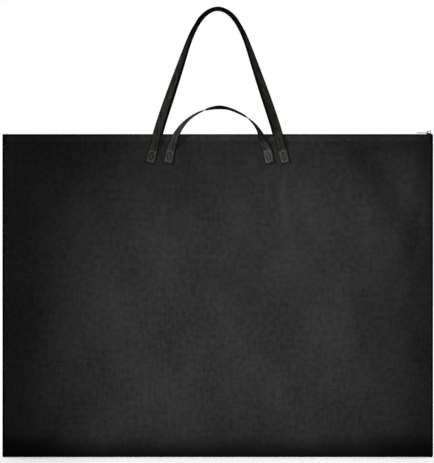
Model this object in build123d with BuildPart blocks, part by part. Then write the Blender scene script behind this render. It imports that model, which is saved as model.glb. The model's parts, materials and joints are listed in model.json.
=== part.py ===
from build123d import *
from math import atan2, cos, degrees, radians, sin
import os

os.makedirs("parts", exist_ok=True)

# Soft portfolio case standing on its bottom edge. Millimetres.
# The front faces -Y, +X is to the right, +Z is up.
# The origin is the middle of the bottom edge.

# ---- driving dimensions ----
CASE_W = 1219.2         # 48 in, over the side bindings
CASE_H = 914.4          # 36 in, bottom edge to top of the zip teeth
CASE_T = 28.0           # over both panels in the middle
EDGE_T = 14.0           # over both panels at their rims
CLOTH = 1.5             # outer fabric
TAPE = 1.0              # binding tape
WEBBING_W = 25.0        # handle webbing
WEBBING_T = 1.8

PANEL_TOP = 911.0       # turned upper edge of each panel
RIM = 18.0              # flat rim round each panel
SLOPE = 90.0            # width of the gentle slope inside the rim
BULGE = (CASE_T - EDGE_T) / 2
SLOPE_ANGLE = atan2(BULGE, SLOPE)

BINDING_W = 6.0         # binding seen on each panel
END_TAB_W = 9.0         # fabric tab over each end of the zip
END_TAB_Z = 888.0
END_TAB_TOP = 913.2
PANEL_W = CASE_W - 2 * CLOTH

# ---- zip ----
COIL_W = 3.0            # one half of the closed coil
COIL_T = 2.5
COIL_GAP = 1.2          # channel between the halves, for the slider's wedge
COIL_END = 606.0
ZIP_TAPE_T = 0.6
ZIP_TAPE_H = 18.0
STOP_L = 2.0

SLIDER_L = 14.0
SLIDER_W = 9.6
SLIDER_X = 598.0        # slider parked at the closed end
PLATE_T = 1.6
PLAY = 0.3              # free space round the coil
BAIL_L = 11.0
BAIL_H = 7.1
BAIL_W = 2.6
BAIL_T = 1.6
PULL_BAR_Z = 917.6
PULL_L = 36.0           # pivot bar to tip
PULL_W = 9.0
PULL_T = 1.6
PULL_EYE_L = 10.5
PULL_EYE_W = 3.8

# ---- handles ----
TAB_L = 38.0            # sewn end of a handle
TAB_Z = 851.0
LONG_TAB_X = 187.0
LONG_TAB_LEAN = 14.0    # degrees, leaning inwards
SHORT_TAB_X = 140.0
SHORT_TAB_LEAN = 11.0
FOLD_Z = 876.0          # line where a handle folds
FOLD_Y = 14.0
FOOT_Z = 880.0          # lower end of each free loop
FOOT_Y = 12.2
LONG_APEX_Y = 11.8
LONG_TWIST = 60.0       # degrees at the top of the loop
SHORT_APEX_Y = 9.0
SHORT_TWIST = 110.0
HANG_ANGLE = 172.0      # the back short handle hangs folded down
SECTIONS = 36

STITCH_BOX = (19.0, 30.0)
STITCH_T = 0.5
STITCH_W = 0.9
BACKING = (92.0, 54.0)
BACKING_X = 164.0
BACKING_T = 0.5


def write(piece, name):
    piece.part.label = name
    export_step(piece.part, f"parts/{name}.step")


def write_back(front, name):
    """Mirrors a front piece to the back of the case and writes it."""
    with BuildPart() as back:
        mirror(front.part, about=Plane.XZ)
    write(back, name)


def slope_plane(x, z, depth=0.0):
    """Plane on the upper slope of the front panel; depth is outwards from the fabric's face."""
    outer = Plane(
        origin=(x, -(EDGE_T / 2 + (PANEL_TOP - RIM - z) * BULGE / SLOPE), z),
        x_dir=(1, 0, 0),
        z_dir=(0, -cos(SLOPE_ANGLE), sin(SLOPE_ANGLE)),
    )
    return outer.offset(depth)


# ---- front and back panels: flat rim, four slopes, flat middle ----
with BuildPart() as front_panel:
    with BuildSketch(Plane.XZ.offset(EDGE_T / 2 - CLOTH)):
        with Locations((0, PANEL_TOP / 2)):
            Rectangle(PANEL_W, PANEL_TOP)
    extrude(amount=CLOTH)
    for below, mode in ((0, Mode.ADD), (CLOTH, Mode.SUBTRACT)):
        for depth, inset in ((EDGE_T / 2, RIM), (CASE_T / 2, RIM + SLOPE)):
            with BuildSketch(Plane.XZ.offset(depth - below)):
                with Locations((0, PANEL_TOP / 2)):
                    Rectangle(PANEL_W - 2 * inset, PANEL_TOP - 2 * inset)
        loft(mode=mode)
write(front_panel, "front_panel")
write_back(front_panel, "back_panel")

# ---- bottom strip between the panels ----
with BuildPart() as bottom_strip:
    with BuildSketch(Plane.XY):
        Rectangle(PANEL_W, EDGE_T - 2 * CLOTH)
    extrude(amount=CLOTH)
write(bottom_strip, "bottom_strip")


# ---- tape folded round the side edges, and the tabs over the zip's ends ----
def edge_channel(side, width, low, high, tape):
    """U-shaped fold round one side edge; side is -1 left, +1 right."""
    with BuildPart() as fold:
        with BuildSketch(Plane.XY.offset(low)):
            with Locations((side * (CASE_W - width) / 2, 0)):
                Rectangle(width, EDGE_T + 2 * tape)
            with Locations((side * (PANEL_W - width) / 2, 0)):
                Rectangle(width, EDGE_T, mode=Mode.SUBTRACT)
        extrude(amount=high - low)
    return fold


for side, word in ((-1, "left"), (1, "right")):
    write(edge_channel(side, BINDING_W, 0, END_TAB_Z, TAPE), f"{word}_binding")
    write(edge_channel(side, END_TAB_W, END_TAB_Z, END_TAB_TOP, CLOTH), f"{word}_zip_end_tab")

# ---- hem band outside the top rim ----
with BuildPart() as front_top_band:
    with BuildSketch(Plane.XZ.offset(EDGE_T / 2)):
        with Locations((0, PANEL_TOP - RIM / 2)):
            Rectangle(CASE_W - 2 * END_TAB_W, RIM)
    extrude(amount=TAPE)
write(front_top_band, "front_top_band")
write_back(front_top_band, "back_top_band")

# ---- zip: coil halves, tapes and stops ----
COIL_INNER = COIL_GAP / 2
COIL_OUTER = COIL_INNER + COIL_W
COIL_LOW = CASE_H - COIL_T

with BuildPart() as front_zip_coil:
    with BuildSketch(Plane.YZ.offset(-COIL_END)):
        with Locations((-(COIL_INNER + COIL_OUTER) / 2, (COIL_LOW + CASE_H) / 2)):
            Rectangle(COIL_W, COIL_T)
    extrude(amount=2 * COIL_END)
write(front_zip_coil, "front_zip_coil")
write_back(front_zip_coil, "back_zip_coil")

TAPE_FACE = EDGE_T / 2 - CLOTH
with BuildPart() as front_zip_tape:
    with BuildSketch(Plane.YZ.offset(-PANEL_W / 2)):
        with BuildLine():
            Polyline(
                (-COIL_OUTER, END_TAB_TOP),
                (-TAPE_FACE, END_TAB_TOP),
                (-TAPE_FACE, END_TAB_TOP - ZIP_TAPE_H),
                (-TAPE_FACE + ZIP_TAPE_T, END_TAB_TOP - ZIP_TAPE_H),
                (-TAPE_FACE + ZIP_TAPE_T, END_TAB_TOP - ZIP_TAPE_T),
                (-COIL_OUTER, END_TAB_TOP - ZIP_TAPE_T),
                close=True,
            )
        make_face()
    extrude(amount=PANEL_W)
write(front_zip_tape, "front_zip_tape")
write_back(front_zip_tape, "back_zip_tape")

for side, word in ((1, "closed"), (-1, "open")):
    with BuildPart() as stop:
        with BuildSketch(Plane.XY.offset(COIL_LOW)):
            with Locations((side * (COIL_END + STOP_L / 2), 0)):
                RectangleRounded(STOP_L, 2 * COIL_OUTER, 0.6)
        extrude(amount=COIL_T)
    write(stop, f"zip_{word}_end_stop")

# ---- zip slider: two plates, wedge, flanges and bail ----
TOP_PLATE_Z = CASE_H + PLAY
BAIL_BASE_Z = TOP_PLATE_Z + PLATE_T
LOW_PLATE_Z = COIL_LOW - PLAY - PLATE_T
FLANGE_IN = COIL_OUTER + PLAY + 0.1
FLANGE_Z = END_TAB_TOP + PLAY + 0.1

with BuildPart() as zip_slider:
    with BuildSketch(Plane.XY.offset(TOP_PLATE_Z)):
        with Locations((SLIDER_X, 0)):
            RectangleRounded(SLIDER_L, SLIDER_W, 2.2)
    extrude(amount=PLATE_T)
    with BuildSketch(Plane.XY.offset(LOW_PLATE_Z)):
        with Locations((SLIDER_X, 0)):
            RectangleRounded(SLIDER_L, 2 * (TAPE_FACE - ZIP_TAPE_T - 0.5), 2.0)
    extrude(amount=PLATE_T)
    with BuildSketch(Plane.XY.offset(LOW_PLATE_Z + PLATE_T)):
        with Locations((SLIDER_X + SLIDER_L / 4, 0)):
            Rectangle(SLIDER_L / 3, COIL_GAP - 2 * PLAY)
    extrude(amount=TOP_PLATE_Z - LOW_PLATE_Z - PLATE_T)
    with BuildSketch(Plane.XY.offset(FLANGE_Z)):
        with Locations((SLIDER_X, FLANGE_IN + 0.4), (SLIDER_X, -FLANGE_IN - 0.4)):
            Rectangle(SLIDER_L - 5, 0.8)
    extrude(amount=TOP_PLATE_Z - FLANGE_Z)
    with BuildSketch(Plane.XZ.offset(-BAIL_W / 2)):
        with Locations((SLIDER_X, BAIL_BASE_Z + BAIL_H / 2)):
            Rectangle(BAIL_L, BAIL_H)
        with Locations((SLIDER_X, BAIL_BASE_Z + (BAIL_H - BAIL_T) / 2)):
            Rectangle(BAIL_L - 2 * BAIL_T, BAIL_H - BAIL_T, mode=Mode.SUBTRACT)
    extrude(amount=BAIL_W)
    bail_top = zip_slider.edges().filter_by(Axis.Y).group_by(Axis.Z)[-1]
    fillet(bail_top, radius=1.4)
write(zip_slider, "zip_slider")

# ---- zip pull: bar under the bail, eye and flat tab, lying back along the zip ----
with BuildPart() as zip_pull:
    with BuildSketch(Plane.XY.offset(PULL_BAR_Z - PULL_T / 2)):
        with Locations((SLIDER_X - PULL_L / 2 + 0.9, 0)):
            RectangleRounded(PULL_L, PULL_W, 3.2)
        with Locations((SLIDER_X - 0.9 - PULL_EYE_L / 2 + 0.9, 0)):
            Rectangle(PULL_EYE_L - 1.8, PULL_EYE_W, mode=Mode.SUBTRACT)
    extrude(amount=PULL_T)
write(zip_pull, "zip_pull")


# ---- sewn handle ends, their box stitching and the patches behind them ----
def patches(middle_x, lean, size, depth, thick):
    """One flat piece on each side of the front panel, leaning inwards."""
    with BuildPart() as pair:
        for side in (-1, 1):
            with BuildSketch(slope_plane(side * middle_x, TAB_Z, depth)):
                Rectangle(*size, rotation=side * lean)
            extrude(amount=thick)
    return pair


TAB = (WEBBING_W, TAB_L)
for name, middle_x, lean in (
    ("long_handle_ends", LONG_TAB_X, LONG_TAB_LEAN),
    ("short_handle_ends", SHORT_TAB_X, SHORT_TAB_LEAN),
):
    ends = patches(middle_x, lean, TAB, 0, WEBBING_T)
    write(ends, f"front_{name}")
    write_back(ends, f"back_{name}")

backing = patches(BACKING_X, 0, BACKING, -CLOTH * cos(SLOPE_ANGLE) - BACKING_T, BACKING_T)
write(backing, "front_handle_backing")
write_back(backing, "back_handle_backing")

with BuildPart() as front_handle_stitching:
    for tab_x, lean in ((LONG_TAB_X, LONG_TAB_LEAN), (SHORT_TAB_X, SHORT_TAB_LEAN)):
        for side in (-1, 1):
            with BuildSketch(slope_plane(side * tab_x, TAB_Z, WEBBING_T)):
                box_w, box_h = STITCH_BOX
                corner = degrees(atan2(box_h, box_w))
                diagonal = (box_w**2 + box_h**2) ** 0.5 - 2 * STITCH_W
                Rectangle(box_w, box_h, rotation=side * lean)
                Rectangle(box_w - 2 * STITCH_W, box_h - 2 * STITCH_W,
                          rotation=side * lean, mode=Mode.SUBTRACT)
                Rectangle(diagonal, STITCH_W, rotation=side * lean + corner)
                Rectangle(diagonal, STITCH_W, rotation=side * lean - corner)
            extrude(amount=STITCH_T)
write(front_handle_stitching, "front_handle_stitching")
write_back(front_handle_stitching, "back_handle_stitching")


# ---- free handle loops: webbing that turns as it rises from its sewn ends ----
def smooth(value, start, end):
    t = min(max((value - start) / (end - start), 0.0), 1.0)
    return t * t * (3 - 2 * t)


def front_loop(half_route, apex_y, twist, twist_from):
    """Upright loop; half_route holds (x, z) points from the left foot to the top."""
    other_half = [(-x, z) for x, z in reversed(half_route[:-1])]
    with BuildLine(Plane.XZ) as route:
        Spline(*half_route, *other_half)
    path = route.wire()
    with BuildPart() as loop:
        for i in range(SECTIONS + 1):
            at = i / SECTIONS
            rise = 1 - abs(2 * at - 1)
            spot = path.position_at(at)
            along = path.tangent_at(at)
            outward = Vector(-along.Z, 0, along.X)
            turn = radians(twist * smooth(rise, twist_from, 1.0))
            across = outward * cos(turn) + Vector(0, sin(turn), 0)
            y = -FOOT_Y + (FOOT_Y - apex_y) * rise
            with BuildSketch(Plane((spot.X, y, spot.Z), x_dir=across, z_dir=along)):
                Rectangle(WEBBING_W, WEBBING_T)
        loft(ruled=True)
    return loop


LONG_ROUTE = (
    (-180.0, FOOT_Z),
    (-140.5, CASE_H + 99),
    (-100.5, CASE_H + 213),
    (-62.0, CASE_H + 306),
    (0.0, CASE_H + 357),
)
SHORT_ROUTE = (
    (-131.0, FOOT_Z),
    (-114.0, CASE_H + 12),
    (-88.0, CASE_H + 44),
    (-36.0, CASE_H + 73),
    (0.0, CASE_H + 79),
)

front_long_handle = front_loop(LONG_ROUTE, LONG_APEX_Y, LONG_TWIST, 0.15)
write(front_long_handle, "front_long_handle")
write_back(front_long_handle, "back_long_handle")

front_short_handle = front_loop(SHORT_ROUTE, SHORT_APEX_Y, SHORT_TWIST, 0.12)
write(front_short_handle, "front_short_handle")

# The back short handle hangs down behind the case, folded at the top of its sewn ends.
fold_line = Axis((0, -FOLD_Y, FOLD_Z), (1, 0, 0))
hanging = front_short_handle.part.rotate(fold_line, HANG_ANGLE)
with BuildPart() as back_short_handle:
    mirror(hanging, about=Plane.XZ)
write(back_short_handle, "back_short_handle")
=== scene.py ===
"""Looks of the portfolio case: cloth shell, webbing handles, zip, studio floor and light. Metres."""
import json
import math

import bmesh
import bpy
import numpy as np
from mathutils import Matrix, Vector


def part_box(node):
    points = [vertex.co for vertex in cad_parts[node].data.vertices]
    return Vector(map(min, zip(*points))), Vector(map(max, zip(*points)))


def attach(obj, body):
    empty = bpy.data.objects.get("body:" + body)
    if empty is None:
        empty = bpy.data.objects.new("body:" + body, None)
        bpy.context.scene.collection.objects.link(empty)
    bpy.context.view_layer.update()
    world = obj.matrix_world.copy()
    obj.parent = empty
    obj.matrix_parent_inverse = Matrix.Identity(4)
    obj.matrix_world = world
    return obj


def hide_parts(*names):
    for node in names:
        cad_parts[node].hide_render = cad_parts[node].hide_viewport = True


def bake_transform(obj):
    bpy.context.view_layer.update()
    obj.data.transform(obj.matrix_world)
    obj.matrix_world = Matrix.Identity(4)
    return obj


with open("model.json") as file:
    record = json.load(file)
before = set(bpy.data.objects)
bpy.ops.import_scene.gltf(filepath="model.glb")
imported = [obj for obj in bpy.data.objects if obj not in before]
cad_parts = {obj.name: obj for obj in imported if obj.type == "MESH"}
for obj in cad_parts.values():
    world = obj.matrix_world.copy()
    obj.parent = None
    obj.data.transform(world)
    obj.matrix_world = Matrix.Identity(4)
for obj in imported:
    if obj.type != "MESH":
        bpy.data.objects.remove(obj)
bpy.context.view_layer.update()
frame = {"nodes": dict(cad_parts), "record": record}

MM = 0.001

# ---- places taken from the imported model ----
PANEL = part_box("front_panel")
PANEL_TOP = PANEL[1][2]
MID_Y = -PANEL[0][1]                      # half thickness in the middle of the case
HALF_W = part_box("right_binding")[1][0]    # side edge
BINDING_W = HALF_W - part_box("right_binding")[0][0]
BINDING_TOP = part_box("right_binding")[1][2]
RIM_Y = -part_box("front_top_band")[1][1]   # half thickness at the mouth
BAND_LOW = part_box("front_top_band")[0][2]
END_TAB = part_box("right_zip_end_tab")
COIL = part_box("front_zip_coil")
ZIP_TOP = COIL[1][2]
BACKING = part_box("front_handle_backing")
JOINTS = {joint["name"]: joint for joint in frame["record"]["behaviour"]["joints"]}
FOLD_Y, FOLD_Z = JOINTS["back_long_handle_fold"]["pos_m"][1:]

# ---- sizes of the soft pieces ----
CLOTH = 1.5 * MM
SIDE_Y = 5.5 * MM         # half thickness at the middle of a side seam
BOUND = 5 * MM            # how far a binding tape reaches in from the edge
TUCKED = 1.2 * MM         # how far inside the bindings the cloth ends
WEBBING_W = 25 * MM
WEBBING_T = 1.8 * MM
TAB_L = 38 * MM           # sewn end of a handle
TAB_Z = 851 * MM
LONG_TAB_X = 187 * MM
LONG_TAB_LEAN = math.radians(14)
SHORT_TAB_X = 140 * MM
SHORT_TAB_LEAN = math.radians(11)
SHORT_X = 3 * MM          # the short handle is sewn on a little to the right of the middle
FRONT, BACK = -1, 1       # sides, by the sign of Y
SIDES = ((FRONT, "front"), (BACK, "back"))


# ---- small helpers ----
def smooth(value, start, end):
    """0 before start, 1 after end, and an even curve between them."""
    t = np.clip((value - start) / (end - start), 0, 1)
    return t * t * (3 - 2 * t)


def bow(distance, reach):
    """Quarter of an ellipse: steep at the edge, flat at reach."""
    t = np.clip(distance / reach, 0, 1)
    return np.sqrt(1 - (1 - t) ** 2)


def unit(v):
    return v / np.linalg.norm(v, axis=-1, keepdims=True)


def spline(points, count):
    """Natural cubic spline through the points, as count points evenly spaced along it."""
    points = np.array(points, float)
    knots = np.concatenate([[0], np.cumsum(np.linalg.norm(np.diff(points, axis=0), axis=1))])
    n = len(knots)
    gaps = np.diff(knots)
    matrix, right = np.eye(n), np.zeros((n, points.shape[1]))
    for i in range(1, n - 1):
        matrix[i, i - 1:i + 2] = gaps[i - 1], 2 * (gaps[i - 1] + gaps[i]), gaps[i]
        right[i] = 6 * ((points[i + 1] - points[i]) / gaps[i] - (points[i] - points[i - 1]) / gaps[i - 1])
    curve = np.linalg.solve(matrix, right)
    at = np.linspace(0, knots[-1], 40 * n)
    i = np.clip(np.searchsorted(knots, at, side="right") - 1, 0, n - 2)
    a, b, h = (knots[i + 1] - at)[:, None], (at - knots[i])[:, None], gaps[i][:, None]
    line = (curve[i] * a**3 + curve[i + 1] * b**3) / (6 * h)
    line += (points[i] / h - curve[i] * h / 6) * a + (points[i + 1] / h - curve[i + 1] * h / 6) * b
    along = np.concatenate([[0], np.cumsum(np.linalg.norm(np.diff(line, axis=0), axis=1))])
    even = np.linspace(0, along[-1], count)
    return np.stack([np.interp(even, along, line[:, k]) for k in range(line.shape[1])], axis=1)


def mesh_piece(name, vertices, faces, material, slot, body="case", uv=None, closed=True, **values):
    """Makes a piece; uv is each vertex's flat place in metres, and values are named numbers per vertex."""
    mesh = bpy.data.meshes.new(name)
    mesh.from_pydata(np.asarray(vertices).reshape(-1, 3).tolist(), [], [list(map(int, f)) for f in faces])
    if uv is not None:
        layer = mesh.uv_layers.new(name="cloth")
        index = np.zeros(len(mesh.loops), int)
        mesh.loops.foreach_get("vertex_index", index)
        layer.data.foreach_set("uv", np.asarray(uv, np.float32).reshape(-1, 2)[index].ravel())
    for key, numbers in values.items():
        attribute = mesh.attributes.new(key, "FLOAT", "POINT")
        attribute.data.foreach_set("value", np.asarray(numbers, np.float32).ravel())
    if closed:
        work = bmesh.new()
        work.from_mesh(mesh)
        bmesh.ops.recalc_face_normals(work, faces=work.faces)
        work.to_mesh(mesh)
        work.free()
    mesh.validate()
    mesh.polygons.foreach_set("use_smooth", [True] * len(mesh.polygons))
    mesh.materials.append(material)
    piece = bpy.data.objects.new(name, mesh)
    bpy.context.collection.objects.link(piece)
    if body:
        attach(piece, body)
    return piece


def grid_faces(rows, columns, wrap=False):
    """Quads over a grid of rows by columns vertices; wrap joins the last column to the first."""
    faces = []
    for i in range(rows - 1):
        for j in range(columns if wrap else columns - 1):
            k = (j + 1) % columns
            faces.append((i * columns + j, i * columns + k, (i + 1) * columns + k, (i + 1) * columns + j))
    return faces


def apply_modifiers(piece):
    graph = bpy.context.evaluated_depsgraph_get()
    done = bpy.data.meshes.new_from_object(piece.evaluated_get(graph))
    piece.modifiers.clear()
    piece.data = done


def thicken(piece, thickness):
    """Gives a sheet its thickness, on its inner side."""
    solid = piece.modifiers.new("thickness", "SOLIDIFY")
    solid.thickness = thickness
    solid.offset = -1
    solid.use_even_offset = True
    apply_modifiers(piece)


# ---- camera: straight on, long lens ----
CAMERA_DISTANCE = 6.0
CAMERA_X = -2.1 * MM
CAMERA_Z = 638.5 * MM
VIEW_HEIGHT = 1.311
camera = bpy.data.objects.new("camera", bpy.data.cameras.new("camera"))
bpy.context.collection.objects.link(camera)
camera.location = (CAMERA_X, -CAMERA_DISTANCE, CAMERA_Z)
camera.rotation_euler = (math.pi / 2, 0, 0)
camera.data.sensor_width = 36
camera.data.lens = camera.data.sensor_width * CAMERA_DISTANCE / VIEW_HEIGHT
bpy.context.scene.camera = camera


# ---- materials ----
def srgb(level, tint=(1, 1, 1)):
    """Linear colour of a grey level from 0 to 255."""
    linear = ((level / 255 + 0.055) / 1.055) ** 2.4 if level > 10 else level / 255 / 12.92
    return tuple(linear * t for t in tint) + (1,)


class Nodes:
    """Short calls for building a node tree."""

    def __init__(self, name):
        self.material = bpy.data.materials.new(name)
        self.material.use_nodes = True
        self.tree = self.material.node_tree
        self.shader = self.tree.nodes["Principled BSDF"]

    def add(self, kind, **sockets):
        node = self.tree.nodes.new(kind)
        for key, value in sockets.items():
            if key.startswith("_"):
                setattr(node, key[1:], value)
            else:
                self.join(value, node.inputs[key])
        return node

    def join(self, value, socket):
        if isinstance(value, bpy.types.NodeSocket):
            self.tree.links.new(value, socket)
        else:
            socket.default_value = value

    def math(self, operation, a, b=0.0):
        node = self.tree.nodes.new("ShaderNodeMath")
        node.operation = operation
        self.join(a, node.inputs[0])
        self.join(b, node.inputs[1])
        return node.outputs[0]

    def times(self, a, b):
        return self.math("MULTIPLY", a, b)

    def flipped(self, value):
        return self.math("SUBTRACT", 1.0, value)

    def weighted(self, *parts):
        """Sum of (value, weight) parts."""
        total = self.times(*parts[0])
        for value, weight in parts[1:]:
            total = self.math("ADD", total, self.times(value, weight))
        return total

    def mapped(self, source, scale, angle=0.0):
        node = self.add("ShaderNodeMapping", Vector=source, Scale=scale)
        node.inputs["Rotation"].default_value[2] = angle
        return node.outputs[0]

    def place(self):
        """The point in the shared frame, in metres."""
        return self.add("ShaderNodeTexCoord").outputs["Object"]

    def noise(self, vector, scale, detail=2.0):
        return self.add("ShaderNodeTexNoise", Vector=vector, Scale=scale, Detail=detail).outputs["Fac"]

    def between(self, fac, dark, light):
        node = self.add("ShaderNodeMix", _data_type="RGBA")
        self.join(fac, node.inputs[0])
        self.join(dark, node.inputs[6])
        self.join(light, node.inputs[7])
        return node.outputs[2]

    def ramp(self, fac, low, high):
        """0 below low, 1 above high, and an even curve between them."""
        node = self.tree.nodes.new("ShaderNodeMapRange")
        node.interpolation_type = "SMOOTHSTEP"
        self.join(fac, node.inputs["Value"])
        self.join(low, node.inputs["From Min"])
        self.join(high, node.inputs["From Max"])
        return node.outputs[0]

    def scaled(self, fac, low, high):
        """low where fac is 0 and high where it is 1."""
        node = self.add("ShaderNodeMapRange", Value=fac)
        node.inputs["To Min"].default_value = low
        node.inputs["To Max"].default_value = high
        return node.outputs[0]

    def threads(self, coordinate, pitch):
        """0 in the gap between two threads, 1 on top of a thread."""
        wave = self.math("SINE", self.times(coordinate, 2 * math.pi / pitch))
        return self.math("ADD", self.times(wave, 0.5), 0.5)

    def finish(self, colour, height, depth, roughness, specular, sheen=0.0):
        """Joins the shader up; height is from 0 to about 1, and depth is what 1 stands for, in metres."""
        bump = self.add("ShaderNodeBump", Strength=1.0, Distance=depth, Height=height)
        self.join(bump.outputs[0], self.shader.inputs["Normal"])
        self.join(colour, self.shader.inputs["Base Color"])
        self.join(roughness, self.shader.inputs["Roughness"])
        self.shader.inputs["Sheen Weight"].default_value = sheen
        self.shader.inputs["Sheen Roughness"].default_value = 0.4
        self.shader.inputs["Specular IOR Level"].default_value = specular
        return self.material


def woven_cloth(name, dark, light, pitch, painted_shade=False):
    """Plain-woven polyester with slubs and uneven dye; the painted-shade switch darkens its bottom edge and
    lower corners with painted shade.
    """
    n = Nodes(name)
    x, y, up = n.add("ShaderNodeSeparateXYZ", Vector=n.place()).outputs
    across = n.math("ADD", x, y)
    flat = n.add("ShaderNodeCombineXYZ", X=across, Y=up).outputs[0]
    over = n.threads(n.math("ADD", across, up), 2 * pitch)
    weave = n.weighted((n.threads(across, pitch), over), (n.threads(up, pitch), n.flipped(over)))
    slubs = n.weighted(
        (n.noise(n.mapped(flat, (330, 14, 1)), 1.0), 0.62),
        (n.noise(n.mapped(flat, (14, 330, 1)), 1.0), 0.38),
    )
    grain = n.noise(flat, 75.0, 7.0)
    cloudy = n.noise(n.mapped(flat, (1, 0.6, 1)), 7.0, 2.0)
    shade = n.weighted(
        (n.ramp(slubs, 0.3, 0.7), 0.26),
        (weave, 0.2),
        (n.ramp(grain, 0.25, 0.75), 0.32),
        (n.ramp(cloudy, 0.3, 0.7), 0.22),
    )
    colour = n.between(shade, dark, light)
    # painted shade: darker towards the bottom edge and in the lower corners, for the shade where the panel
    # curves under
    if painted_shade:
        side = n.ramp(n.math("ABSOLUTE", x), 0.39, 0.52)
        corner = n.times(side, n.flipped(n.ramp(up, 0.025, 0.085)))
        unshaded = n.ramp(n.weighted((up, 1.0), (cloudy, 0.03)), 0.008, 0.092)
        unshaded = n.times(unshaded, n.flipped(n.times(corner, 0.75)))
        colour = n.between(unshaded, tuple(0.5 * c for c in dark[:3]) + (1,), colour)
    height = n.weighted((weave, 1.0), (slubs, 0.8))
    return n.finish(colour, height, 0.16 * MM, n.scaled(shade, 0.75, 0.92), specular=0.015)


def webbing(name, dark, light):
    """Flat webbing: ribs, a herringbone and worn streaks on its outer face, darker along both edges, and a
    near-black back that is painted shade for the underside.
    """
    n = Nodes(name)
    flat_place = n.add("ShaderNodeTexCoord").outputs["UV"]
    along, across, _ = n.add("ShaderNodeSeparateXYZ", Vector=flat_place).outputs
    outer = n.add("ShaderNodeAttribute", _attribute_name="outer").outputs["Fac"]
    flat = n.add("ShaderNodeCombineXYZ", X=along, Y=across).outputs[0]
    ribs = n.threads(along, 1.6 * MM)
    cords = n.threads(across, 2.1 * MM)
    chevron = n.threads(n.math("ADD", along, n.math("PINGPONG", across, WEBBING_W / 4)), 6.4 * MM)
    selvedge = n.ramp(n.math("ABSOLUTE", across), WEBBING_W * 0.36, WEBBING_W * 0.46)
    streaks = n.noise(n.mapped(n.mapped(flat, (1, 1, 1), -0.2), (32, 290, 1)), 1.0, 1.0)
    fuzz = n.noise(flat, 900.0, 2.0)
    shade = n.weighted(
        (n.ramp(chevron, 0.15, 0.85), 0.2),
        (ribs, 0.1),
        (n.ramp(streaks, 0.42, 0.58), 0.62),
        (fuzz, 0.1),
    )
    # the outer face is lit; the back, where outer is 0, is near black: painted shade for the strap's
    # underside
    lit = n.times(n.math("ADD", n.times(n.flipped(selvedge), 0.86), 0.14), outer)
    back = n.times(n.math("ADD", ribs, fuzz), 0.025)
    colour = n.between(n.weighted((shade, lit), (back, 1.0)), dark, light)
    height = n.weighted((ribs, 0.7), (cords, 0.5), (chevron, 0.5), (selvedge, 0.5))
    return n.finish(colour, height, 0.24 * MM, 0.85, specular=0.01)


def thread_material(name, dark, light):
    """Twisted polyester thread."""
    n = Nodes(name)
    place = n.place()
    slanted = n.add("ShaderNodeSeparateXYZ", Vector=n.mapped(place, (1, 1, 1), 0.6)).outputs[0]
    twist = n.threads(slanted, 0.5 * MM)
    shade = n.weighted((twist, 0.5), (n.noise(place, 1500.0, 2.0), 0.5))
    return n.finish(n.between(shade, dark, light), twist, 0.08 * MM, 0.7, specular=0.06, sheen=0.02)


def enamel(name, paint, bare):
    """Black enamel on cast metal, worn thin in scattered patches."""
    n = Nodes(name)
    place = n.place()
    worn = n.ramp(n.noise(place, 620.0, 4.0), 0.56, 0.72)
    grain = n.noise(place, 2600.0, 2.0)
    n.join(n.times(worn, 0.8), n.shader.inputs["Metallic"])
    roughness = n.scaled(grain, 0.3, 0.46)
    return n.finish(n.between(worn, paint, bare), grain, 0.03 * MM, roughness, specular=0.12)


def nylon(name, dark, light):
    """Moulded nylon with a slightly cloudy surface."""
    n = Nodes(name)
    cloudy = n.noise(n.place(), 300.0, 3.0)
    return n.finish(n.between(cloudy, dark, light), cloudy, 0.04 * MM, 0.45, specular=0.1)


WARM = (0.98, 1.02, 0.81)       # olive cast of the long webbing
COLD = (0.98, 0.98, 1.03)       # bluish cast of the short webbing
# the shell cloth carries painted shade along its bottom edge and lower corners
CLOTH_MATERIAL = woven_cloth("shell_weave", srgb(5.5), srgb(24), 0.85 * MM, painted_shade=True)
BAND_MATERIAL = woven_cloth("hem_weave", srgb(8), srgb(29), 0.85 * MM)
BINDING_MATERIAL = woven_cloth("binding_weave", srgb(1), srgb(5), 0.6 * MM)
ZIP_TAPE_MATERIAL = woven_cloth("zip_tape_weave", srgb(2), srgb(8), 0.5 * MM)
LONG_MATERIAL = webbing("long_webbing_weave", srgb(2), srgb(28, WARM))
SHORT_MATERIAL = webbing("short_webbing_weave", srgb(2), srgb(34, COLD))
GREY_THREAD = thread_material("grey_thread", srgb(42), srgb(74))
BLACK_THREAD = thread_material("black_thread", srgb(2), srgb(9))
ENAMEL = enamel("black_enamel", srgb(4), srgb(26))
NYLON = nylon("black_nylon", srgb(3), srgb(10))


# CAD nodes that are shown as they are
for node, material in (
    ("front_zip_tape", ZIP_TAPE_MATERIAL),
    ("back_zip_tape", ZIP_TAPE_MATERIAL),
    ("front_handle_backing", BINDING_MATERIAL),
    ("back_handle_backing", BINDING_MATERIAL),
    ("zip_closed_end_stop", ENAMEL),
    ("zip_open_end_stop", ENAMEL),
    ("zip_slider", ENAMEL),
    ("zip_pull", ENAMEL),
):
    painted = frame["nodes"][node].data.materials
    painted.clear()
    painted.append(material)


# ---- shell panels ----
LOW_REACH = 90 * MM       # how far the swelling takes to grow from the bottom edge
HIGH_REACH = 130 * MM     # from the hem band
SIDE_REACH = 200 * MM     # from the side edges


def seam_half(z):
    """Half thickness of the case along a side seam, which widens towards the bottom and the mouth."""
    ends = 1 - smooth(z, 0, 0.16) * smooth(PANEL_TOP - z, 0.02, 0.2)
    return SIDE_Y + (RIM_Y - SIDE_Y) * ends


def half_thickness(x, z):
    """Distance of the panel's outer face from the middle plane of the case, without folds."""
    low = bow(z - BOUND, LOW_REACH)
    high = 1 - (1 - np.clip((BAND_LOW - z) / HIGH_REACH, 0, 1)) ** 1.5
    middle = RIM_Y + (MID_Y - RIM_Y) * low * high
    edge = seam_half(z)
    return edge + (middle - edge) * bow(HALF_W - np.abs(x) - BOUND, SIDE_REACH)


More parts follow.
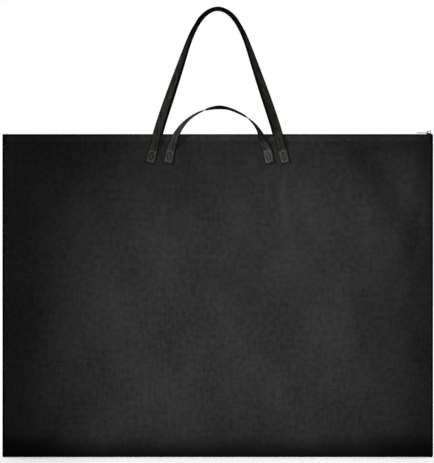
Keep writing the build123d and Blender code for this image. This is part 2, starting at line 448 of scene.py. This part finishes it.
def soft_fold(x, z, start, end, width, height):
    """A shallow ridge between two points, with a hollow on its outer side."""
    start, end = np.array(start), np.array(end)
    line = end - start
    length = np.linalg.norm(line)
    line = line / length
    along = (x - start[0]) * line[0] + (z - start[1]) * line[1]
    aside = -(x - start[0]) * line[1] + (z - start[1]) * line[0]
    fade = smooth(along, -0.25 * length, 0.25 * length) * (1 - smooth(along, 0.7 * length, 1.3 * length))
    ridge = np.exp(-(aside / width) ** 2)
    hollow = np.exp(-((aside - 1.9 * width) / width) ** 2)
    return height * fade * (ridge - 0.9 * hollow)


WAVE_LENGTHS = (0.42, 0.33, 0.24, 0.18, 0.13, 0.095)


def waves(x, z, seed):
    """Gentle unevenness of stretched cloth."""
    rng = np.random.default_rng(seed)
    total = np.zeros_like(x)
    for size in WAVE_LENGTHS:
        angle, phase = rng.uniform(0, math.pi), rng.uniform(0, 2 * math.pi)
        total += size * np.sin(2 * math.pi * (x * math.cos(angle) + z * math.sin(angle)) / size + phase)
    return total * 0.55 * MM


# each fold's start, end, width and height
FOLDS = {
    FRONT: (
        ((0.34, 0.88), (0.50, 0.62), 0.044, 10.0 * MM),
        ((-0.50, 0.80), (-0.42, 0.58), 0.026, 0.9 * MM),
        ((0.30, 0.12), (0.44, 0.05), 0.018, 0.8 * MM),
        ((-0.34, 0.10), (-0.47, 0.06), 0.018, 0.8 * MM),
    ),
    BACK: (
        ((-0.36, 0.86), (-0.47, 0.66), 0.024, 1.5 * MM),
        ((0.42, 0.30), (0.52, 0.12), 0.026, 1.2 * MM),
        ((0.10, 0.70), (0.02, 0.52), 0.030, 0.7 * MM),
    ),
}
GATHER_PITCH = 11 * MM
GATHER_HEIGHT = 0.5 * MM


def puckers(x, z, side):
    """Small gathers in the cloth under the sewn handle ends."""
    total = np.zeros_like(x)
    down = TAB_Z - TAB_L / 2 - z
    below = np.exp(-np.clip(down, 0, 1) / 0.014) * smooth(down, -0.01, 0.003)
    for tab_x in (-LONG_TAB_X, -SHORT_TAB_X + SHORT_X, SHORT_TAB_X + SHORT_X, LONG_TAB_X):
        near = np.exp(-((x - tab_x) / 0.02) ** 2) * below
        total += near * np.sin((x - tab_x) * 2 * math.pi / GATHER_PITCH + side) * GATHER_HEIGHT
    return total


SLACK_X = np.linspace(-HALF_W + BOUND, HALF_W - BOUND, 101)
SLACK_Z = np.linspace(BOUND, BAND_LOW, 75)
SLACK_CAP = 3.2 * MM
SLACK_FRAMES = 30


def cloth_settings(cloth, side):
    """Light polyester, a little larger than its frame, that its weight and the air outside draw inwards."""
    modifier = cloth.modifiers.new("cloth", "CLOTH")
    modifier.point_cache.frame_start, modifier.point_cache.frame_end = 1, SLACK_FRAMES
    setting = modifier.settings
    setting.vertex_group_mass = "held"
    setting.quality = 6
    setting.mass = 0.3
    setting.tension_stiffness = 18
    setting.compression_stiffness = 18
    setting.shear_stiffness = 9
    setting.bending_stiffness = 0.6
    setting.air_damping = 2
    setting.shrink_min = -0.004
    setting.use_pressure = True
    setting.uniform_pressure_force = -side * 0.25
    setting.effector_weights.gravity = 0.35


def simulated_slack(side):
    """How far slightly slack cloth, held at its seams and sewn handle ends, settles from its smooth shape."""
    x, z = np.meshgrid(SLACK_X, SLACK_Z)
    rng = np.random.default_rng(5 + side)
    y = half_thickness(x, z) + rng.uniform(-0.2, 0.2, x.shape) * MM
    mesh = bpy.data.meshes.new("slack")
    mesh.from_pydata(np.stack([x, side * y, z], -1).reshape(-1, 3).tolist(), [], grid_faces(*x.shape))
    cloth = bpy.data.objects.new("slack", mesh)
    bpy.context.collection.objects.link(cloth)
    held = np.zeros(x.shape, bool)
    held[[0, -1]] = held[:, [0, -1]] = True
    for tab_x in (-LONG_TAB_X, -SHORT_TAB_X, SHORT_TAB_X, LONG_TAB_X):
        held |= (np.abs(x - tab_x) < WEBBING_W / 2) & (np.abs(z - TAB_Z) < TAB_L / 2)
    pins = cloth.vertex_groups.new(name="held")
    pins.add(np.flatnonzero(held).tolist(), 1.0, "REPLACE")
    cloth_settings(cloth, side)
    scene = bpy.context.scene
    for number in range(1, SLACK_FRAMES + 1):
        scene.frame_set(number)
    settled = cloth.evaluated_get(bpy.context.evaluated_depsgraph_get()).data
    place = np.zeros(len(settled.vertices) * 3)
    settled.vertices.foreach_get("co", place)
    place = place.reshape(x.shape + (3,))
    bpy.data.objects.remove(cloth)
    scene.frame_set(1)
    moved = side * place[..., 1] - half_thickness(place[..., 0], place[..., 2])
    return SLACK_CAP * np.tanh(moved / SLACK_CAP)


SLACK = {side: simulated_slack(side) for side, _ in SIDES}
PATCH_W = 2 * (BACKING[1][0] - (LONG_TAB_X + SHORT_TAB_X) / 2)
PATCHES = ((BACKING[0][0], BACKING[0][0] + PATCH_W), (BACKING[1][0] - PATCH_W, BACKING[1][0]))
PATCH_LOW = BACKING[0][2]
PATCH_REACH = 50 * MM     # the cloth lies still on the patches and is free this far from them


def slack(x, z, side):
    """The settled cloth's displacement at any place, read from its grid."""
    i = np.clip((z - SLACK_Z[0]) / (SLACK_Z[1] - SLACK_Z[0]), 0, len(SLACK_Z) - 1.001)
    j = np.clip((x - SLACK_X[0]) / (SLACK_X[1] - SLACK_X[0]), 0, len(SLACK_X) - 1.001)
    i0, j0 = i.astype(int), j.astype(int)
    u, v = smooth(i - i0, 0, 1), smooth(j - j0, 0, 1)
    grid = SLACK[side]
    low = grid[i0, j0] * (1 - v) + grid[i0, j0 + 1] * v
    high = grid[i0 + 1, j0] * (1 - v) + grid[i0 + 1, j0 + 1] * v
    moved = low * (1 - u) + high * u
    for left, right in PATCHES:
        aside = np.maximum(np.maximum(left - x, x - right), 0)
        below = np.maximum(PATCH_LOW - z, 0)
        moved = moved * smooth(np.hypot(aside, below), 2 * MM, PATCH_REACH)
    return moved


def panel_depth(x, z, side):
    """Full shape of a panel's outer face; side is -1 front, 1 back."""
    calm = smooth(HALF_W - np.abs(x), 0.005, 0.04) * smooth(z, 0, 0.05) * smooth(PANEL_TOP - z, 0.02, 0.05)
    bumps = 0.6 * waves(x, z, 11 + side) + puckers(x, z, side) + slack(x, z, side)
    for start, end, width, height in FOLDS[side]:
        bumps = bumps + soft_fold(x, z, start, end, width, height)
    return half_thickness(x, z) + calm * bumps


RIM_DROP = 1.6 * MM
RIM_PULLS = ((-0.07, 0.20, 2.6 * MM), (0.52, 0.12, 0.7 * MM))     # where, how wide and how high


def rim_rise(x, z):
    """The mouth hangs just below the zip, stands higher where the handles pull at it, and wanders."""
    pull = sum(height * np.exp(-((x - at) / width) ** 2) for at, width, height in RIM_PULLS)
    wander = 0.35 * MM * np.sin(x * 23 + 0.6)
    return (pull - RIM_DROP + wander) * smooth(z, BAND_LOW - 0.02, PANEL_TOP)


def sheet_faces(rows, columns, side):
    """Faces of a sheet on one side of the case, turned outwards."""
    faces = grid_faces(rows, columns)
    return [face[::-1] for face in faces] if side > 0 else faces


def panel(side, word):
    """A shell panel, pressed thin where the bindings cover it."""
    edge_x = HALF_W - TUCKED
    xs = np.concatenate([[-1, -0.997, -0.992], np.linspace(-0.985, 0.985, 181), [0.992, 0.997, 1]]) * edge_x
    low_zs = np.linspace(TUCKED, 7 * MM, 6)
    zs = np.concatenate([low_zs, np.linspace(10 * MM, PANEL_TOP - 4 * MM, 141), [PANEL_TOP]])
    x, z = np.meshgrid(xs, zs)
    pressed = np.maximum(smooth(np.abs(x), HALF_W - BOUND, edge_x), 1 - smooth(z, TUCKED, BOUND))
    y = side * panel_depth(x, z, side) * (1 - 0.35 * pressed)
    z = z + rim_rise(x, z)
    piece = mesh_piece(f"{word}_shell", np.stack([x, y, z], -1), sheet_faces(len(zs), len(xs), side),
                       CLOTH_MATERIAL, "shell_cloth", closed=False)
    thicken(piece, CLOTH)
    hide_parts(f"{word}_panel")


for side, word in SIDES:
    panel(side, word)


# ---- hem bands at the mouth ----
BAND_X = HALF_W - 6.5 * MM
BAND_LIFT = 1.1 * MM
BAND_CLOTH = 0.8 * MM
# across the band from its lower edge: how far up, and how far it stands off the panel
BAND_PROFILE = np.array([0, 0.05, 0.12, 0.3, 0.5, 0.7, 0.88, 0.95, 1.0])
BAND_RAISED = np.array([0.1, 0.75, 1, 0.93, 0.9, 0.93, 1, 0.75, 0.1])


def hem_band(side, word):
    """The doubled strip along the mouth, with rounded edges."""
    x, t = np.meshgrid(np.linspace(-BAND_X, BAND_X, 301), BAND_PROFILE)
    low = BAND_LOW - 1 * MM
    z = low + (PANEL_TOP - low) * t
    wobble = 0.35 * MM * np.sin(x * 37) + 0.25 * MM * np.sin(x * 61 + side)
    y = side * (panel_depth(x, z, side) + BAND_LIFT * BAND_RAISED[:, None] + wobble * 0.4)
    z = z + wobble * (1 - t) + rim_rise(x, z)
    piece = mesh_piece(f"{word}_hem_band", np.stack([x, y, z], -1), sheet_faces(*x.shape, side),
                       BAND_MATERIAL, "shell_cloth", closed=False)
    thicken(piece, BAND_CLOTH)
    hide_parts(f"{word}_top_band")


for side, word in SIDES:
    hem_band(side, word)


# ---- stitches ----
RING = [(math.cos(a), math.sin(a)) for a in np.linspace(0, 2 * math.pi, 7)[:-1]]
# along one stitch: place by its length, thickness and height by its radius; the ends dip into the cloth
STITCH_STATIONS = ((-0.5, 0.25, -0.5), (-0.36, 0.85, 0.1), (0, 1.0, 0.35),
                   (0.36, 0.85, 0.1), (0.5, 0.25, -0.5))


def stitch_mesh(rows, pitch, length, radius):
    """Vertices and faces of short thread pieces along rows; a row is (points, outward directions)."""
    vertices, faces = [], []
    around = len(RING)
    for points, outward in rows:
        along = np.concatenate([[0], np.cumsum(np.linalg.norm(np.diff(points, axis=0), axis=1))])
        count = max(1, int(along[-1] / pitch))

        def on_row(at, values):
            return np.array([np.interp(at, along, values[:, k]) for k in range(3)])

        for at in (np.arange(count) + 0.5) * along[-1] / count:
            spot = on_row(at, points)
            run = unit(on_row(at + 1e-4, points) - on_row(at - 1e-4, points))
            out = unit(on_row(at, outward))
            side = np.cross(run, out)
            first = len(vertices)
            for shift, size, rise in STITCH_STATIONS:
                middle = spot + run * shift * length + out * radius * rise
                vertices += [middle + radius * size * (c * side + s * out) for c, s in RING]
            last = len(vertices) - around
            for a in range(first, last, around):
                for j in range(around):
                    k = (j + 1) % around
                    faces.append((a + j, a + around + j, a + around + k, a + k))
            faces.append(tuple(first + j for j in range(around)))
            faces.append(tuple(last + j for j in reversed(range(around))))
    return vertices, faces


def panel_row(side, points, lift):
    """A row on a panel through (x, z) points, lifted off the cloth."""
    flat = []
    for (x0, z0), (x1, z1) in zip(points, points[1:]):
        count = max(2, int(math.hypot(x1 - x0, z1 - z0) / 0.01) + 1)
        flat += [(x0 + (x1 - x0) * t, z0 + (z1 - z0) * t) for t in np.linspace(0, 1, count)]
    x, z = np.array(flat).T
    y = side * (panel_depth(x, z, side) + lift)
    return np.stack([x, y, z + rim_rise(x, z)], -1), np.tile([0.0, side, 0.0], (len(x), 1))


def on_tab(tab_x, lean, sign, across, up):
    """(x, z) of a place on a sewn end; sign is 1 where the strap leans to the right."""
    return (tab_x + across * math.cos(lean) + sign * up * math.sin(lean),
            TAB_Z + up * math.cos(lean) - sign * across * math.sin(lean))


def topstitching(side, word):
    """Black rows along both edges of the hem band and beside the side bindings."""
    rows = []
    end = END_TAB[0][0]
    for z in (BAND_LOW + 1.6 * MM, PANEL_TOP - 3.2 * MM):
        rows.append(panel_row(side, ((-end, z), (end, z)), 1.15 * MM))
    beside = HALF_W - BINDING_W - 1.2 * MM
    for x in (-beside, beside):
        rows.append(panel_row(side, ((x, 12 * MM), (x, BINDING_TOP)), 0.15 * MM))
    mesh_piece(f"{word}_topstitching", *stitch_mesh(rows, 3.4 * MM, 2.7 * MM, 0.3 * MM),
               BLACK_THREAD, "thread")


# black stitch rows that stand in for the shadow under each sewn end: painted shadow
SHADOW_TACK_HALF = 15.5 * MM
SHADOW_TACK_ROWS = np.linspace(20.4, 23.6, 5) * MM       # how far below the middle of a sewn end


def painted_shadow_tacks(side, word):
    """Close black stitch rows just below each sewn end: painted shadow under the turned-under strap end."""
    rows = []
    for tab_x, lean, shift in ((LONG_TAB_X, LONG_TAB_LEAN, 0), (SHORT_TAB_X, SHORT_TAB_LEAN, SHORT_X)):
        for sign in (1, -1):
            for down in SHADOW_TACK_ROWS:
                ends = [on_tab(shift - sign * tab_x, lean, sign, across, -down)
                        for across in (-SHADOW_TACK_HALF, SHADOW_TACK_HALF)]
                rows.append(panel_row(side, ends, 0.7 * MM))
    mesh_piece(f"{word}_painted_shadow_tacks", *stitch_mesh(rows, 2.6 * MM, 2.7 * MM, 0.45 * MM),
               BLACK_THREAD, "thread")


for side, word in SIDES:
    topstitching(side, word)
    painted_shadow_tacks(side, word)


# ---- side bindings and zip end tabs: tape folded round the edge ----
FOLD_POWER = 0.62         # below 1 the folded edge is squarer than an ellipse
BINDING_TAPE = 0.9 * MM


def fold_section(half, width, tape, count=22):
    """(inset from the edge, y) points round the outside of a folded tape, and round its inside."""
    turn = np.linspace(-math.pi / 2, math.pi / 2, count)
    outside = np.stack([
        width * (1 - np.abs(np.cos(turn)) ** FOLD_POWER * 0.999),
        (half + tape) * np.sign(np.sin(turn)) * np.abs(np.sin(turn)) ** FOLD_POWER,
    ], -1)
    inside = outside.copy()
    inside[:, 0] = np.maximum(outside[:, 0], tape)
    inside[:, 1] = np.clip(outside[:, 1], -half, half)
    inside[0, 0] = inside[-1, 0] = width
    return outside, inside


def folded_tape(name, stations, width, tape, place, node):
    """A tape folded over an edge, whose place() turns (inset, y, station) into points.

    stations are (at, half, inset): half the thickness inside the fold, and how far in the fold lies.
    """
    rows = []
    for at, half, inset in stations:
        outside, inside = fold_section(half + 0.1 * MM, width, tape)
        loop = np.concatenate([outside, inside[::-1]])
        rows.append(place(loop[:, 0] + inset, loop[:, 1], np.full(len(loop), at)))
    columns = len(loop)
    faces = grid_faces(len(rows), columns, wrap=True)
    for first in (0, (len(rows) - 1) * columns):
        last = first + columns - 1
        faces += [(first + j, first + j + 1, last - j - 1, last - j) for j in range(columns // 2 - 1)]
    piece = mesh_piece(name, np.array(rows), faces, BINDING_MATERIAL, "binding_tape")
    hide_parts(node)


def corner_inset(at, radius):
    """How far a rounded corner lies in from the edge, at a distance from the corner's end."""
    return radius - math.sqrt(max(radius**2 - (radius - min(at, radius)) ** 2, 0))


def tucked_half(half, inset):
    """Half thickness of the bottom tape, which goes in under a side binding at each end."""
    if inset >= BOUND:
        return half
    cosine = (1 - inset / BOUND) ** (1 / FOLD_POWER)
    inside_fold = (half + BINDING_TAPE) * (1 - cosine**2) ** (FOLD_POWER / 2)
    return inside_fold - BINDING_TAPE - 0.35 * MM


CORNER = 5 * MM
BINDING_CORNER_Z = np.array([0.3, 0.9, 1.8, 3, 5]) * MM
BINDING_Z = np.concatenate([BINDING_CORNER_Z, np.linspace(10 * MM, BINDING_TOP + 1 * MM, 70)])
TAB_STATIONS = np.linspace(END_TAB[0][2], END_TAB[1][2] + 0.8 * MM, 12)
TAB_ROUNDING = 1.2 * MM * np.linspace(-1, 1, len(TAB_STATIONS)) ** 6
TAB_TAPE = 1.6 * MM


def side_tapes(sign, word):
    """The binding down one side, and the tab folded over that end of the zip."""
    def at_side(inset, y, z):
        return np.stack([sign * (HALF_W - inset), y, z], -1)

    stations = [(z, float(seam_half(z)), corner_inset(z, CORNER)) for z in BINDING_Z]
    folded_tape(f"{word}_binding_tape", stations, BOUND, BINDING_TAPE, at_side, f"{word}_binding")
    stations = [(z, RIM_Y, inset) for z, inset in zip(TAB_STATIONS, TAB_ROUNDING)]
    folded_tape(f"{word}_zip_tab", stations, END_TAB[1][0] - END_TAB[0][0], TAB_TAPE, at_side,
                f"{word}_zip_end_tab")


side_tapes(-1, "left")
side_tapes(1, "right")

BOTTOM_ENDS = np.array([0.6, 1.2, 2, 3, 4, 5]) * MM
BOTTOM_MIDDLE = np.linspace(HALF_W - 12 * MM, -HALF_W + 12 * MM, 90)


def bottom_tape():
    """The tape folded round the bottom edge, rounded at the corners."""
    stations = []
    for x in np.concatenate([HALF_W - BOTTOM_ENDS, BOTTOM_MIDDLE, BOTTOM_ENDS[::-1] - HALF_W]):
        inset = HALF_W - abs(x)
        stations.append((x, tucked_half(float(seam_half(0)), inset), corner_inset(inset, CORNER) + 0.2 * MM))
    folded_tape("bottom_binding_tape", stations, BOUND + 0.6 * MM, BINDING_TAPE,
                lambda inset, y, x: np.stack([x, y, inset], -1), "bottom_strip")


bottom_tape()


# ---- zip teeth ----
TOOTH_PITCH = 1.5 * MM
TOOTH_L = 4.6 * MM
# an oblong with cut corners: across by the pitch, and up by the coil's height
TOOTH_SECTION = ((-0.30, 0.12), (-0.18, 0.0), (0.18, 0.0), (0.30, 0.12),
                 (0.30, 0.88), (0.18, 1.0), (-0.18, 1.0), (-0.30, 0.88))
# along a tooth from its outer end: how far, and how thick
TOOTH_STATIONS = ((0, 0.8), (0.2, 1.0), (0.75, 1.0), (1, 0.55))


def zip_teeth(side, word):
    """One half of a nylon coil: rounded loops that cross the middle line between their neighbours."""
    low, high, deep = COIL[0][0], COIL[1][0], COIL[1][2] - COIL[0][2]
    outer = -COIL[0][1]
    around = len(TOOTH_SECTION)
    vertices, faces = [], []
    for i in range(int((high - low) / TOOTH_PITCH)):
        x = low + (i + 0.5 + 0.25 * side) * TOOTH_PITCH
        first = len(vertices)
        for along, size in TOOTH_STATIONS:
            y = side * (outer - along * TOOTH_L)
            vertices += [(x + dx * size * TOOTH_PITCH * 0.8, y, COIL[0][2] + deep * (0.5 + (dz - 0.5) * size))
                         for dx, dz in TOOTH_SECTION]
        last = len(vertices) - around
        tooth = [(a + j, a + (j + 1) % around, a + around + (j + 1) % around, a + around + j)
                 for a in range(first, last, around) for j in range(around)]
        tooth.append(tuple(range(last, last + around)))
        tooth.append(tuple(reversed(range(first, first + around))))
        faces += tooth if side > 0 else [face[::-1] for face in tooth]
    piece = mesh_piece(f"{word}_coil_teeth", vertices, faces, NYLON, "zip_nylon")
    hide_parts(f"{word}_zip_coil")


for side, word in SIDES:
    zip_teeth(side, word)


# ---- handles: one strap from sewn end to sewn end ----
FOOT_Y = 12.2 * MM
FOOT_Z = 880 * MM

# routes, in mm: x from the middle of the case, and height over the zip
LONG_HALF = ((-180, -34.4), (-140.5, 99), (-100.5, 213), (-63, 304), (-29, 344.5), (0, 354.5))
LONG_BACK_HALF = ((-177, -34.4), (-136.5, 99), (-99, 213), (-63, 304), (-29, 344), (0, 354))
SHORT_ROUTE = ((-130, -34.4), (-113.5, 4), (-83.6, 40.5), (-43, 65), (-17, 72.6), (5.7, 75),
               (31, 71.3), (57, 61), (82, 47), (103, 28), (122, -3), (133, -34.4))

# how each strap turns, in degrees, from the foot of a leg (0) to the top of the loop (1)
FRONT_LONG_TURN = ((0, 0), (0.09, 10), (0.18, 22), (0.385, 35), (0.59, 49), (0.71, 62),
                   (0.81, 112), (0.87, 115), (0.93, 108), (1, 104))
BACK_LONG_TURN = ((0, 0), (0.18, 15), (0.385, 28), (0.59, 44), (0.72, 55), (0.87, 64), (0.93, 74), (1, 80))
SHORT_LEFT_TURN = ((0, 0), (0.05, 10), (0.19, 42), (0.27, 53), (0.48, 69), (0.74, 80),
                   (0.80, 98), (0.90, 106), (1, 112))
SHORT_RIGHT_TURN = ((0, 0), (0.05, 12), (0.17, 48), (0.29, 66), (0.40, 75), (0.50, 81), (0.56, 97),
                    (0.7, 100), (0.86, 103), (0.94, 108), (1, 112))
# the loop that hangs behind starts flat, so that its edges stay clear of its sewn ends
HANGING_TURN = ((0, 0), (0.1, 2), (0.25, 16), (0.5, 45), (0.75, 80), (1, 112))


def mirrored(half):
    return half + tuple((-x, z) for x, z in half[-2::-1])


def strap_line(route, tab_x, lean, count):
    """(x, z) points of a whole strap: up one sewn end, over and down the other, closest at its ends."""
    up, down = ([on_tab(x, lean, sign, 0, d) for d in (-TAB_L / 2, 0, TAB_L / 2)]
                for x, sign in zip(tab_x, (1, -1)))
    line = spline(up + [(x * MM, ZIP_TOP + z * MM) for x, z in route] + down[::-1], count)
    close = np.array([0, 0.08, 0.2, 0.4, 0.7])[:, None]
    return np.concatenate([
        line[0] + (line[1] - line[0]) * close,
        line[1:-1],
        line[-1] + (line[-2] - line[-1]) * close[::-1],
    ])


# across a strap: by half its width, and by half its thickness; it is fullest beside its selvedges
SPREAD = np.array([-1, -0.985, -0.94, -0.8, -0.55, -0.28, 0, 0.28, 0.55, 0.8, 0.94, 0.985, 1])
CROWN = np.array([0, 0.62, 0.95, 1.0, 0.97, 0.95, 0.94, 0.95, 0.97, 1.0, 0.95, 0.62, 0])
FACE = list(zip(SPREAD * WEBBING_W / 2, CROWN / 2))
RIBBON_SECTION = FACE + [(s, -c) for s, c in FACE[-2:0:-1]]


def ribbon(name, centre, across, thick, side, material, slot):
    """A closed strap with rounded edges along centre; across is its width direction."""
    tangent = unit(np.gradient(centre, axis=0))
    across = unit(across - tangent * (across * tangent).sum(1, keepdims=True))
    normal = np.cross(tangent, across)
    rings = np.stack([centre + across * s + normal * (c * thick)[:, None] for s, c in RIBBON_SECTION], 1)
    along = np.concatenate([[0], np.cumsum(np.linalg.norm(np.diff(centre, axis=0), axis=1))])
    uv = np.stack([np.stack([along, np.full(len(along), s)], -1) for s, _ in RIBBON_SECTION], 1)
    # outer is 1 on the strap's outer face; the webbing paints the rest near black, as painted shade for its
    # underside
    outer = np.tile([float(smooth(-side * c * 2, 0.7, 0.93)) for _, c in RIBBON_SECTION], (len(centre), 1))
    columns = len(RIBBON_SECTION)
    faces = grid_faces(len(centre), columns, wrap=True)
    faces.append(tuple(reversed(range(columns))))
    faces.append(tuple((len(centre) - 1) * columns + j for j in range(columns)))
    return mesh_piece(name, rings, faces, material, slot, body=None, uv=uv, outer=outer)


def turned(points, angle, side):
    """Points folded outwards about a handle's fold line."""
    c, s = np.cos(angle), np.sin(angle)
    y, z = points[:, 1] * side - FOLD_Y, points[:, 2] - FOLD_Z
    return np.stack([points[:, 0], side * (FOLD_Y + y * c + z * s), FOLD_Z - y * s + z * c], -1)


def eased(rise, table, reach):
    """Turn read from a table and rounded off at its corners, reach points each way."""
    at, turn = zip(*table)
    count = 2 * reach + 1
    padded = np.pad(np.interp(rise, at, turn), reach, "edge")
    return np.convolve(padded, np.full(count, 1 / count), "valid")


TAB_TOP = TAB_Z + TAB_L / 2
TAB_THICK = 1.5 * WEBBING_T      # the sewn ends are turned under
STRAP_POINTS = 420
LEG_POINTS = 200


def strap(name, side, kind, hang=0.0):
    """A handle from sewn end to sewn end; hang folds its loop down behind the case."""
    line = strap_line(kind["route"], kind["tab_x"], kind["lean"], STRAP_POINTS)
    x, z = line[:, 0], line[:, 1]
    length = np.concatenate([[0], np.cumsum(np.linalg.norm(np.diff(line, axis=0), axis=1))])
    start = np.interp(FOOT_Z, z[:LEG_POINTS], length[:LEG_POINTS])
    end = np.interp(FOOT_Z, z[:-LEG_POINTS:-1], length[:-LEG_POINTS:-1])
    apex = length[np.argmax(z)]
    left = length < apex
    rise = np.clip(np.where(left, (length - start) / (apex - start), (end - length) / (end - apex)), 0, 1)
    sewn = 1 - smooth(z, TAB_TOP - 4 * MM, TAB_TOP + 3 * MM)
    thick = WEBBING_T + (TAB_THICK - WEBBING_T) * sewn
    sewn_y = panel_depth(x, z, side) + thick / 2
    loop_y = FOOT_Y + (kind["apex_y"] - FOOT_Y) * rise
    y = sewn_y + (loop_y - sewn_y) * smooth(z, TAB_TOP - 3 * MM, FOOT_Z + 4 * MM)
    thick = thick * np.sqrt(bow(np.minimum(length, length[-1] - length) + 0.05 * MM, 1.5 * MM))
    centre = np.stack([x, side * y, z], -1)
    tangent = unit(np.gradient(centre, axis=0))
    outward = unit(np.stack([-tangent[:, 2], 0 * x, tangent[:, 0]], -1))
    left_turn, right_turn = (eased(rise, table, kind["easing"]) for table in kind["turns"])
    turn = np.radians(np.where(left, left_turn, right_turn))
    across = outward * np.cos(turn)[:, None] - np.array([0, side, 0]) * np.sin(turn)[:, None]
    if hang:
        angle = hang * smooth(z, FOLD_Z - 5 * MM, FOLD_Z + 5 * MM)
        tip = turned(centre + across, angle, side)
        centre = turned(centre, angle, side)
        across = tip - centre
    return ribbon(name, centre, across, thick, side, kind["material"], kind["slot"])


def tabs(x, shift=0.0):
    return (-x + shift, x + shift)


BACK_INSET = 3 * MM       # the back long handle is sewn on a little nearer to the middle
FRONT_LONG = {
    "route": mirrored(LONG_HALF),
    "tab_x": tabs(LONG_TAB_X),
    "lean": LONG_TAB_LEAN,
    "apex_y": 12.8 * MM,
    "turns": (FRONT_LONG_TURN, FRONT_LONG_TURN),
    "easing": 10,
    "material": LONG_MATERIAL,
    "slot": "long_webbing",
}
BACK_LONG = dict(FRONT_LONG, route=mirrored(LONG_BACK_HALF), tab_x=tabs(LONG_TAB_X - BACK_INSET),
                 turns=(BACK_LONG_TURN, BACK_LONG_TURN))
FRONT_SHORT = {
    "route": SHORT_ROUTE,
    "tab_x": tabs(SHORT_TAB_X, SHORT_X),
    "lean": SHORT_TAB_LEAN,
    "apex_y": 9.0 * MM,
    "turns": (SHORT_LEFT_TURN, SHORT_RIGHT_TURN),
    "easing": 6,
    "material": SHORT_MATERIAL,
    "slot": "short_webbing",
}
BACK_SHORT = dict(FRONT_SHORT, turns=(HANGING_TURN, HANGING_TURN), easing=10)
HANG = math.radians(JOINTS["back_short_handle_raise"]["range_deg"][1])

# start and end points at the fold line for each strap's bend; the loop below only turns them into tuples, and
# no bend uses them
FOLD_START, FOLD_END = (0, 0, FOLD_Z - 6 * MM), (0, 0, FOLD_Z + 7 * MM)
HANGING_START, HANGING_END = (0, 13 * MM, FOLD_Z), (0, 15.6 * MM, FOLD_Z + 0.1 * MM)

for word, side, length_word, kind, hang, start, end in (
    ("front", FRONT, "long", FRONT_LONG, 0.0, FOLD_START, FOLD_END),
    ("back", BACK, "long", BACK_LONG, 0.0, FOLD_START, FOLD_END),
    ("front", FRONT, "short", FRONT_SHORT, 0.0, FOLD_START, FOLD_END),
    ("back", BACK, "short", BACK_SHORT, HANG, HANGING_START, HANGING_END),
):
    handle = strap(f"{word}_{length_word}_strap", side, kind, hang)
    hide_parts(f"{word}_{length_word}_handle", f"{word}_{length_word}_handle_ends")
    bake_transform(handle)
    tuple(start)
    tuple(end)


# ---- box stitching on the sewn ends ----
OUTER_BOX = (20.5 * MM, 31 * MM)
INNER_BOX = (16 * MM, 26.5 * MM)


def tab_rows(side, tab_x, lean, sign):
    """Rows of a crossed double box on one sewn end."""
    def box(width, tall):
        a, b = width / 2, tall / 2
        return [on_tab(tab_x, lean, sign, across, up)
                for across, up in ((-a, -b), (a, -b), (a, b), (-a, b), (-a, -b))]

    outer, inner = box(*OUTER_BOX), box(*INNER_BOX)
    lines = [outer, inner, [inner[0], inner[2]], [inner[1], inner[3]]]
    return [panel_row(side, line, TAB_THICK * 0.98) for line in lines]


def box_stitches(side, word, kinds):
    """Grey stitches on all four sewn ends of one side."""
    rows = []
    for kind in kinds:
        for tab_x, sign in zip(kind["tab_x"], (1, -1)):
            rows += tab_rows(side, tab_x, kind["lean"], sign)
    stitches = mesh_piece(f"{word}_box_stitches", *stitch_mesh(rows, 3.0 * MM, 2.6 * MM, 0.5 * MM),
                          GREY_THREAD, "thread")
    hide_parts(f"{word}_handle_stitching")


box_stitches(FRONT, "front", (FRONT_LONG, FRONT_SHORT))
box_stitches(BACK, "back", (BACK_LONG, FRONT_SHORT))


# ---- studio ----
FLOOR_HALF = 12.0
PAPER_WHITE = 0.96
PAPER_GLOW = 0.16         # keeps the floor pale round the dark case


def paper():
    """Matt seamless paper, very slightly uneven."""
    n = Nodes("studio_paper")
    white = (PAPER_WHITE, PAPER_WHITE, PAPER_WHITE, 1)
    shaded = tuple(c * 0.98 for c in white[:3]) + (1,)
    n.join(n.between(n.noise(n.place(), 3.0), shaded, white), n.shader.inputs["Base Color"])
    n.join(0.9, n.shader.inputs["Roughness"])
    n.join((1, 1, 1, 1), n.shader.inputs["Emission Color"])
    n.join(PAPER_GLOW, n.shader.inputs["Emission Strength"])
    return n.material


def floor():
    mesh = bpy.data.meshes.new("floor")
    corners = [(x * FLOOR_HALF, y * FLOOR_HALF, 0) for x, y in ((-1, -1), (1, -1), (1, 1), (-1, 1))]
    mesh.from_pydata(corners, [], [(0, 1, 2, 3)])
    mesh.materials.append(paper())
    plane = bpy.data.objects.new("floor", mesh)
    bpy.context.collection.objects.link(plane)


def soft_light(name, place, target, size, power, spread):
    """A rectangular light that is aimed at target; spread is in degrees."""
    data = bpy.data.lights.new(name, "AREA")
    data.shape, data.size, data.size_y = "RECTANGLE", size[0], size[1]
    data.energy, data.spread = power, math.radians(spread)
    light = bpy.data.objects.new(name, data)
    bpy.context.collection.objects.link(light)
    light.location = place
    from_to = np.array(target, float) - np.array(place, float)
    flat = math.hypot(from_to[0], from_to[1])
    light.rotation_euler = (math.atan2(flat, -from_to[2]), 0, math.atan2(-from_to[0], from_to[1]))
    light.visible_camera = False


floor()
LIGHT_Y = 0.95            # distance of the lights from the case, front and back
for side, word in SIDES:
    soft_light(f"{word}_light", (0.05, side * LIGHT_Y, 0.34), (0.05, 0, 0.335), (0.93, 0.84), 10.8, spread=34)
    soft_light(f"{word}_handle_light", (0.05, side * LIGHT_Y, 1.185), (0.05, 0, 1.175), (0.5, 0.45), 1.35,
               spread=16)
soft_light("side_light", (-1.5, -0.8, 1.2), (0.3, 0, 0.8), (0.3, 0.3), 1.95, spread=14)

world = bpy.data.worlds.new("studio")
world.use_nodes = True
background = world.node_tree.nodes["Background"].inputs
background["Color"].default_value = (1, 1, 1, 1)
background["Strength"].default_value = 1.0
bpy.context.scene.world = world
bpy.context.scene.view_settings.view_transform = "Standard"
